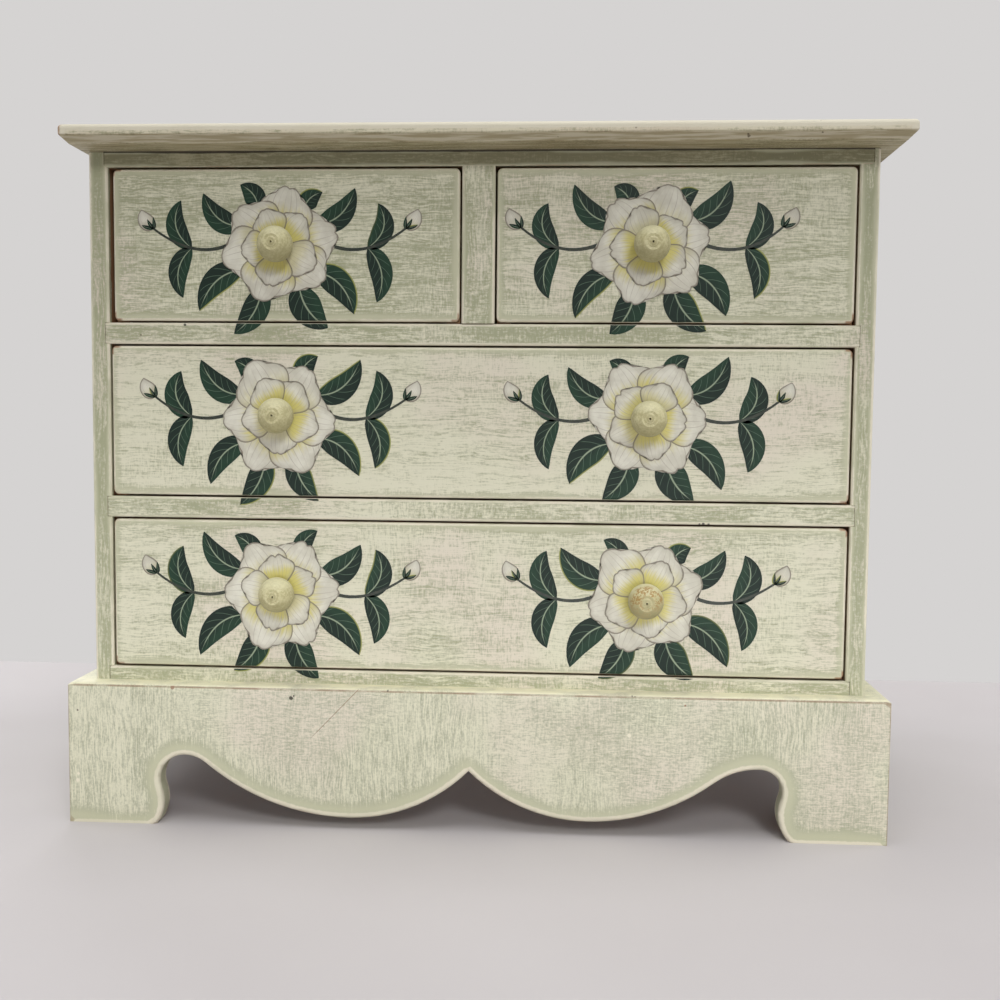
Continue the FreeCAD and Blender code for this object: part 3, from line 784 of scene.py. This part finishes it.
def knobProfile():
    # Radius and distance from the drawer's face, from the neck over the ball to the pin hole.
    tip, end, step, groove, pin = (knob[key] for key in ("tip", "length", "step", "grooveIn", "pin"))
    back = knob["bellyAt"] / math.sqrt(1 - (knob["neck"] / knob["belly"]) ** 2)
    ahead = (end - knob["bellyAt"]) / math.sqrt(1 - (tip / knob["belly"]) ** 2)
    profile = []
    for number in range(knob["rings"] + 1):
        out = end * number / knob["rings"]
        reach = (out - knob["bellyAt"]) / (ahead if out > knob["bellyAt"] else back)
        profile.append((knob["belly"] * math.sqrt(1 - reach ** 2), out))
    profile += [(tip - step, end - step * 0.2), (groove + step, end - step), (groove, end - step),
                (groove - step, end)]
    for share in (0.75, 0.5, 0.3):
        profile.append((groove * share, end + knob["dome"] * (1 - share)))
    profile += [(pin, end + knob["dome"] * 0.9), (pin * 0.7, end - knob["pinDepth"] * 0.5),
                (pin * 0.3, end - knob["pinDepth"])]
    return profile


def knobPaint(name, rust):
    # Paint worn along the turning, with a painted highlight on the upper half and painted shade on the
    # lower. rust is how much rust shows in a ring on the upper half.
    material, shader = newMaterial(name)
    place = objectPlace()
    turning = layerPlace("turning")
    along = splitPlace(turning)[1]
    rise = splitPlace(objectNormal())[2]
    lines = drawnNoise(turning, (3.0, 0.05, 1.0))
    cloud = noise(place, 300.0, 4.0, 0.7)
    speck = noise(place, 1100.0, 3.0, 0.7)
    tone = timesPlus(cloud, 0.4, times(lines, 0.15))
    tone = timesPlus(speck, 0.45, tone)
    colour = mixColour(ramp(tone, 0.42, 0.58), knob["shade"], knob["paint"])
    # Painted highlight on top and painted shade below.
    colour = mixColour(ramp(rise, 0.2, 0.8, 0, 0.5), colour, knob["upper"])
    colour = mixColour(ramp(rise, 0.1, -0.7, 0, 0.5), colour, knob["under"])
    ring = times(ramp(along, 0.46, 0.6), ramp(along, 0.9, 0.82), ramp(rise, -0.6, 0.2, 0.3, 1.0))
    sprinkle = ramp(calc("ADD", speck, cloud), 0.93, 1.08, 0, rust)
    colour = mixColour(times(ring, sprinkle), colour, knob["rust"])
    # Painted shade in the groove by the tip and in the pin hole.
    groove = times(ramp(along, 0.86, 0.89), ramp(along, 0.93, 0.90, 0, 0.35))
    colour = mixColour(groove, colour, knob["groove"])
    colour = mixColour(ramp(along, 0.965, 0.99), colour, paint["grimeAndShade"])
    finishPaint(shader, colour, knob["roughness"], tone, knob["bump"], 0.7)
    return material


def turnKnob():
    # A disc drawn out ring by ring as on a lathe, its axis along -y from the origin.
    profile = knobProfile()
    piece = startDisc(knob["sides"], profile[0][0], math.pi / 2)
    lengths = [0]
    for (radius, out), (nextRadius, nextOut) in zip(profile, profile[1:]):
        drawOut(out - nextOut, nextRadius / radius, -nextOut)
        lengths.append(lengths[-1] + math.dist((radius, out), (nextRadius, nextOut)))
    closeForm()
    layer = piece.data.uv_layers.new(name="turning")
    for loop in piece.data.loops:
        corner = piece.data.vertices[loop.vertex_index].co
        spot = (math.hypot(corner.x, corner.z), -corner.y)
        nearest = min(range(len(profile)), key=lambda n: math.dist(profile[n], spot))
        turnedBy = math.atan2(corner.z, corner.x) / math.tau
        layer.data[loop.index].uv = (turnedBy, lengths[nearest] / lengths[-1])
    makeActive(piece)
    bpy.ops.object.shade_smooth_by_angle(angle=math.radians(40))
    return piece


def knobCentres():
    # Middle of each knob, from the boxes of the nodes that hold them, left to right.
    centres = []
    for drawer in drawers:
        single = f"{drawer}_knob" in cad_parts
        node = f"{drawer}_knob" if single else f"{drawer}_knobs"
        low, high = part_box(node)
        z = (low[2] + high[2]) / 2
        across = [(low[0] + high[0]) / 2] if single else [low[0] + knob["belly"], high[0] - knob["belly"]]
        for number, x in enumerate(across):
            centres.append((drawer, node, number, x, z))
    return centres


pattern = turnKnob()
plainPaint = knobPaint("knobPaint", 0.0)
rustyPaint = knobPaint("knobPaintRusty", 0.9)
knobs = knobCentres()
for drawer, node, number, x, z in knobs:
    piece = copyPiece(pattern, f"knob_{drawer}_{number + 1}")
    piece.location = (x, frontY, z)
    piece.rotation_euler = (0, 0.9 * number + 2.1 * x / caseHigh[0], 0)          # no two stand alike
    applyPlace(piece)
    giveMaterial(piece, rustyPaint if (drawer, number) == knob["rusty"] else plainPaint)
    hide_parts(node)
    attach(piece, drawer)
bpy.data.objects.remove(pattern)
print("knobs turned")


# Brads round the back panel

brads = {"radius": 1.1 * mm, "height": 0.35 * mm, "sides": 16, "inset": 5 * mm, "across": 5, "up": 4,
         "sunk": 0.2 * mm, "taper": 0.7}
steelLook = {"colour": linear(176, 174, 168), "brushed": 2500.0, "least": 0.28, "most": 0.45}


def driveBrads():
    low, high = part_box("back_panel")
    inset = brads["inset"]
    head = startDisc(brads["sides"], brads["radius"], -math.pi / 2)
    drawOut(brads["sunk"] + brads["height"], brads["taper"], brads["height"])
    closeForm()
    spots = []
    for number in range(brads["across"]):
        x = low[0] + inset + (high[0] - low[0] - 2 * inset) * number / (brads["across"] - 1)
        spots += [(x, high[2] - inset), (x, low[2] + inset)]
    for number in range(1, brads["up"]):
        z = low[2] + inset + (high[2] - low[2] - 2 * inset) * number / brads["up"]
        spots += [(low[0] + inset, z), (high[0] - inset, z)]
    heads = []
    for x, z in spots:
        twin = copyPiece(head, "brad")
        twin.location = (x, high[1] - brads["sunk"], z)
        applyPlace(twin)
        heads.append(twin)
    bpy.data.objects.remove(head)
    return joinPieces(heads, "backBrads")


def screwSteel():
    material, shader = newMaterial("screwSteel")
    brushed = noise(objectPlace(), steelLook["brushed"])
    sheen = ramp(brushed, 0.3, 0.7, steelLook["least"], steelLook["most"])
    plug(shader, {"Base Color": steelLook["colour"], "Metallic": 1.0, "Roughness": sheen})
    return material


steel = screwSteel()
nails = driveBrads()
giveMaterial(nails, steel)
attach(nails, "case")
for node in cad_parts:
    if "screw" in node:
        giveMaterial(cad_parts[node], steel)
print("brads and screws finished")


# Painted sprays: thin skins of paint that lie on the drawer fronts and run over the rails

spray = {
    "leafGrid": (18, 6), "stemGrid": (14, 2), "petalGrid": (14, 10), "skin": 0.09 * mm, "layer": 0.025 * mm,
    "sunk": 0.06 * mm, "frontRound": 1.2 * mm, "gapTrim": 0.25 * mm, "wobble": 0.07, "seed": 7,
    # Two rings of petals, each with their number, length and width, and how far from the knob they start.
    "rings": ((6, 27 * mm, 25 * mm), (5, 18.5 * mm, 17 * mm)), "start": 4.2 * mm,
    # Each twig's leaves: up or down, sweep and length. Sepals: how far each tip stands off, aside and up.
    "twigLeaves": ((1, 16, 21), (-1, 14, 23)),
    "sepals": ((0.2, 5.2), (5.4, 1.6), (2.9, 4.2)),
    # Leaves behind the blossom: angle, reach, width and curl, in degrees and mm.
    "backLeaves": ((57, 32, 9.5, 8), (123, 32, 9.5, -8), (150, 43, 11.5, 14), (30, 43, 11.5, -14),
                   (-36, 46, 12, 14), (-144, 46, 12, -14), (-64, 43, 13, -9), (-114, 43, 13, 9)),
}
hand = random.Random(spray["seed"])


def waver(amount):
    return 1 + hand.uniform(-amount, amount)


def bezier(points, share):
    a, b, c = (Vector(point) for point in points)
    return a * (1 - share) ** 2 + b * 2 * share * (1 - share) + c * share ** 2


def skinPatch(name, grid, shape, level):
    # A grid shaped as one stroke of paint: shape(u, v) gives x and z, u along it and v across.
    bpy.ops.mesh.primitive_grid_add(x_subdivisions=grid[0], y_subdivisions=grid[1], size=2)
    patch = bpy.context.object
    patch.name = name
    flat = [(vertex.co.x / 2 + 0.5, vertex.co.y) for vertex in patch.data.vertices]
    spots = [shape(u, v) for u, v in flat]
    rim = [spots[n] for n, (u, v) in enumerate(flat) if abs(v) > 0.999 or u > 0.999]
    layer = patch.data.uv_layers.active
    layer.name = "stroke"
    for loop in patch.data.loops:
        u, v = flat[loop.vertex_index]
        layer.data[loop.index].uv = (u, v / 2 + 0.5)
    gaps = patch.data.attributes.new("rim", "FLOAT", "POINT")
    tint = patch.data.attributes.new("tint", "FLOAT", "POINT")
    share = hand.random()
    for number, vertex in enumerate(patch.data.vertices):
        x, z = spots[number]
        gaps.data[number].value = min(math.hypot(x - a, z - b) for a, b in rim)
        tint.data[number].value = share
        vertex.co = (x, -level, z)
    if patch.data.polygons[0].normal.y > 0:
        editMesh(patch)
        bpy.ops.mesh.flip_normals()
        leaveEdit()
    return patch


def strokePatch(name, grid, centre, path, halfWidth, level):
    # A stroke along a curve: its first, bending and last point, and its half width at each share of it.
    points = [(centre[0] + x, centre[1] + z) for x, z in path]

    def shape(u, v):
        spot = bezier(points, u)
        ahead = (bezier(points, min(u + 0.02, 1)) - bezier(points, max(u - 0.02, 0))).normalized()
        half = halfWidth(u)
        return spot.x - ahead.y * v * half, spot.y + ahead.x * v * half

    return skinPatch(name, grid, shape, level)


def leafPatch(centre, path, width, level):
    def halfWidth(u):
        return max(width / 2 * u ** 0.6 * (1 - u) ** 0.8 / 0.3845, 0.12 * mm)

    return strokePatch("leaf", spray["leafGrid"], centre, path, halfWidth, level)


def stemPatch(centre, path, width, level):
    return strokePatch("stem", spray["stemGrid"], centre, path, lambda u: width / 2 * (1 - 0.45 * u), level)


def petalPatch(centre, angle, length, width, notch, level):
    ahead = Vector((math.cos(angle), math.sin(angle)))
    aside = Vector((-ahead.y, ahead.x))
    lean = hand.uniform(-0.08, 0.08)
    start = spray["start"]

    def shape(u, v):
        swell = math.sin(math.pi * (0.16 + 0.62 * u)) ** 1.1
        half = width / 2 * swell * (1 - max(0, u - 0.72) ** 2 * 3.2)
        crown = math.cos(v * math.pi / 2) ** 0.55 if abs(v) < 1 else 0
        reach = start + (length - start) * u * (1 - 0.20 * u * (1 - crown))
        reach -= notch * u ** 6 * math.exp(-(v / 0.22) ** 2)
        spot = Vector(centre) + ahead * reach + aside * (v * half + lean * reach * u)
        return spot.x, spot.y

    return skinPatch("petal", spray["petalGrid"], shape, level)


def turned(angle, distance):
    angle = math.radians(angle)
    return math.cos(angle) * distance * mm, math.sin(angle) * distance * mm


def paintTwig(centre, mirror, level, leaves, stems, buds):
    # A twig to one hand with a pair of leaves, and a bud with its sepals at the end.
    layer = spray["layer"]
    grow = waver(spray["wobble"])
    twig = [(mirror * 20 * mm, 2 * mm), (mirror * 38 * mm * grow, -7 * mm),
            (mirror * 57 * mm, 8 * mm * grow)]
    stems.append(stemPatch(centre, twig, 1.7 * mm, level + layer))
    joint = bezier(twig, 0.55)
    for lift, sweep, length in spray["twigLeaves"]:
        size = length * waver(spray["wobble"])
        tip = (joint.x + mirror * sweep * 0.3 * mm, joint.y + lift * size * 0.98 * mm)
        bend = (joint.x + mirror * sweep * 0.75 * mm, joint.y + lift * size * 0.40 * mm)
        leaves.append(leafPatch(centre, (joint, bend, tip), 10.2 * mm * waver(0.1), level))
    end = bezier(twig, 1)
    bud = (end, end + Vector((mirror * 4.6, 3.2)) * mm, end + Vector((mirror * 5.5, 8.5)) * mm)
    buds.append(leafPatch(centre, bud, 7.4 * mm, level + 2 * layer))
    for across, rise in spray["sepals"]:
        tip = end + Vector((mirror * across, rise)) * mm
        bend = end + Vector((mirror * (across * 0.75 - 0.6), rise * 0.3)) * mm
        leaves.append(leafPatch(centre, (end, bend, tip), 1.7 * mm, level + 4 * layer))


def paintSpray(centre, side):
    # One spray round a knob: an open blossom, leaves in pairs behind it and a twig to each hand.
    layer, level = spray["layer"], spray["skin"]
    leaves, stems, petals, buds = [], [], [], []
    for mirror in (-1, 1):
        paintTwig(centre, mirror, level, leaves, stems, buds)
    for angle, reach, width, curl in spray["backLeaves"]:
        angle += hand.uniform(-5, 5)
        reach *= waver(spray["wobble"] * 0.6)
        path = (turned(angle, 19), turned(angle + curl, (reach + 19) / 2),
                turned(angle - curl * 0.35, reach))
        leaves.append(leafPatch(centre, path, width * mm * waver(0.1), level + layer * (len(leaves) % 3)))
    spin = hand.uniform(0, math.tau)
    for ring, (count, length, width) in enumerate(spray["rings"]):
        for number in range(count):
            angle = spin + ring * 0.5 + math.tau * number / count + hand.uniform(-0.06, 0.06)
            height = level + layer * (4 + ring * 8 + (number if number < count - 1 else 0.5))
            petals.append(petalPatch(centre, angle, length * waver(0.05), width * waver(0.07),
                                     1.6 * mm * hand.random(), height))
    parts = {"leaves": leaves, "stems": stems, "petals": petals, "buds": buds}
    return [joinPieces(patches, f"{kind}_{side}") for kind, patches in parts.items()]


def cutAt(piece, height, keepAbove):
    editMesh(piece)
    cutAcross(2, height, clear_inner=keepAbove, clear_outer=not keepAbove)
    leaveEdit()


def layOnWood(piece, low, high, rounding):
    # Presses a flat skin on to the board's face and round its arrises, and gives it its thickness.
    editMesh(piece)
    for share in (0.25, 0.5, 0.75, 1):
        for height in (low[2] + share * rounding, high[2] - share * rounding):
            cutAcross(2, height)
    leaveEdit()
    for vertex in piece.data.vertices:
        x, lift, z = vertex.co
        inside = min(x - low[0], high[0] - x, z - low[2], high[2] - z)
        depth = 0
        if inside < rounding:
            depth = rounding - math.sqrt(max(rounding ** 2 - (rounding - max(inside, 0)) ** 2, 0))
        vertex.co.y = low[1] + depth + lift
    makeActive(piece)
    shell = piece.modifiers.new("skin", "SOLIDIFY")
    shell.thickness = spray["skin"] + spray["sunk"]
    shell.offset = -1
    shell.use_even_offset = False
    bpy.ops.object.modifier_apply(modifier="skin")


strokes = {
    "leafDark": linear(8, 32, 22), "leafLight": linear(24, 56, 38), "vein": linear(104, 128, 106),
    "rib": linear(150, 164, 138), "leafEdge": linear(170, 172, 96), "stemDark": linear(22, 34, 24),
    "stemLight": linear(46, 52, 38), "petalDull": linear(205, 202, 186), "petalPale": linear(222, 220, 205),
    "petalShade": linear(180, 176, 154), "gold": linear(208, 199, 116), "petalLine": linear(150, 138, 122),
    "petalRim": linear(172, 167, 150), "outline": linear(124, 116, 102),
}


def leafPaint():
    # Dark leaves, lighter to one side, with pale veins, a rib and here and there a golden edge.
    material, shader = newMaterial("leafPaint")
    rim, tint = measured("rim"), measured("tint")
    u, v, _ = splitPlace(layerPlace("stroke"))
    across = calc("SUBTRACT", v, 0.5)
    off = calc("ABSOLUTE", across)
    body = noise(objectPlace(), 240.0, 3.0)
    light = ramp(timesPlus(body, 0.5, across), 0.1, 0.55, 0.0, 0.8)
    colour = mixColour(light, strokes["leafDark"], strokes["leafLight"])
    slant = calc("SUBTRACT", times(u, 5.5), times(off, 3.2))
    veins = ramp(calc("PINGPONG", slant, 0.5), 0.06, 0.0)
    veins = times(veins, ramp(rim, 0.5 * mm, 1.6 * mm, 0, 0.7))
    colour = mixColour(veins, colour, strokes["vein"])
    rib = times(ramp(off, 0.04, 0.008), ramp(u, 0.98, 0.75))
    colour = mixColour(rib, colour, strokes["rib"])
    edge = times(ramp(rim, 0.75 * mm, 0.25 * mm), ramp(across, 0.1, 0.3), ramp(tint, 0.6, 0.7, 0, 0.8))
    colour = mixColour(edge, colour, strokes["leafEdge"])
    finishPaint(shader, colour, 0.5, body, 0.08 * mm)
    plug(shader, {"Specular IOR Level": 0.3})
    return material


def stemPaint():
    material, shader = newMaterial("stemPaint")
    body = noise(objectPlace(), 500.0, 3.0)
    colour = mixColour(ramp(body, 0.35, 0.65), strokes["stemDark"], strokes["stemLight"])
    plug(shader, {"Base Color": colour, "Roughness": 0.45})
    return material


def petalPaint(name, blush):
    # Pale petals, golden and shaded towards the middle, with fanned lines and a grey outline.
    material, shader = newMaterial(name)
    place = layerPlace("stroke")
    rim, tint = measured("rim"), measured("tint")
    u, v, _ = splitPlace(place)
    solid = objectPlace()
    cloud = noise(solid, 120.0, 3.0, 0.6)
    fan = drawnNoise(place, (2.6, 0.05, 1.0))
    colour = mixColour(ramp(cloud, 0.35, 0.65), strokes["petalDull"], strokes["petalPale"])
    shade = ramp(timesPlus(cloud, 0.3, u), 0.75, 0.3, 0, 0.55)
    colour = mixColour(shade, colour, strokes["petalShade"])
    gold = times(ramp(timesPlus(fan, 0.5, u), 0.95, 0.55), blush, ramp(tint, 0.15, 0.5, 0.35, 1))
    colour = mixColour(gold, colour, strokes["gold"])
    lines = ramp(calc("PINGPONG", times(v, 9.0), 0.5), 0.09, 0.0)
    lines = times(lines, ramp(fan, 0.4, 0.6, 0.1, 0.7))
    colour = mixColour(lines, colour, strokes["petalLine"])
    colour = mixColour(ramp(rim, 3.0 * mm, 0.6 * mm, 0, 0.35), colour, strokes["petalRim"])
    outline = ramp(timesPlus(cloud, 0.5 * mm, rim), 1.15 * mm, 0.5 * mm, 0, 0.9)
    colour = mixColour(outline, colour, strokes["outline"])
    finishPaint(shader, colour, 0.55, noise(solid, 1100.0), 0.05 * mm, 0.5)
    return material


sprayPaints = {"leaves": leafPaint(), "stems": stemPaint(), "petals": petalPaint("petalPaint", 1.0),
               "buds": petalPaint("budPaint", 0.2)}
railBelow = {"drawer_top_left": "shelf_upper", "drawer_top_right": "shelf_upper",
             "drawer_middle": "shelf_lower", "drawer_bottom": "bottom_board"}


def settleSkin(piece, name, body, low, high, rounding):
    layOnWood(piece, low, high, rounding)
    namePiece(piece, name)
    giveMaterial(piece, sprayPaints[name.split("_")[0]])
    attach(piece, body)


for drawer, node, number, x, z in knobs:
    trim = spray["gapTrim"]
    low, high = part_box(f"{drawer}_front")
    railLow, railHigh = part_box(railBelow[drawer])
    railFoot = max(railLow[2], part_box("plinth_front")[1][2])
    for piece in paintSpray((x, z), f"{drawer}_{number + 1}"):
        name = piece.name
        lowest = min(vertex.co.z for vertex in piece.data.vertices)
        if lowest < low[2]:
            over = copyPiece(piece, f"{name}_rail")
            cutAt(over, railHigh[2] - trim, False)
            cutAt(over, railFoot + trim, True)
            if over.data.polygons:
                settleSkin(over, f"{name}_rail", "case", railLow, railHigh, 0)
            else:
                bpy.data.objects.remove(over)
        cutAt(piece, low[2] + trim, True)
        cutAt(piece, high[2] - trim, False)
        settleSkin(piece, name, drawer, low, high, spray["frontRound"])
print("sprays painted")

bpy.context.scene.view_settings.view_transform = "Standard"
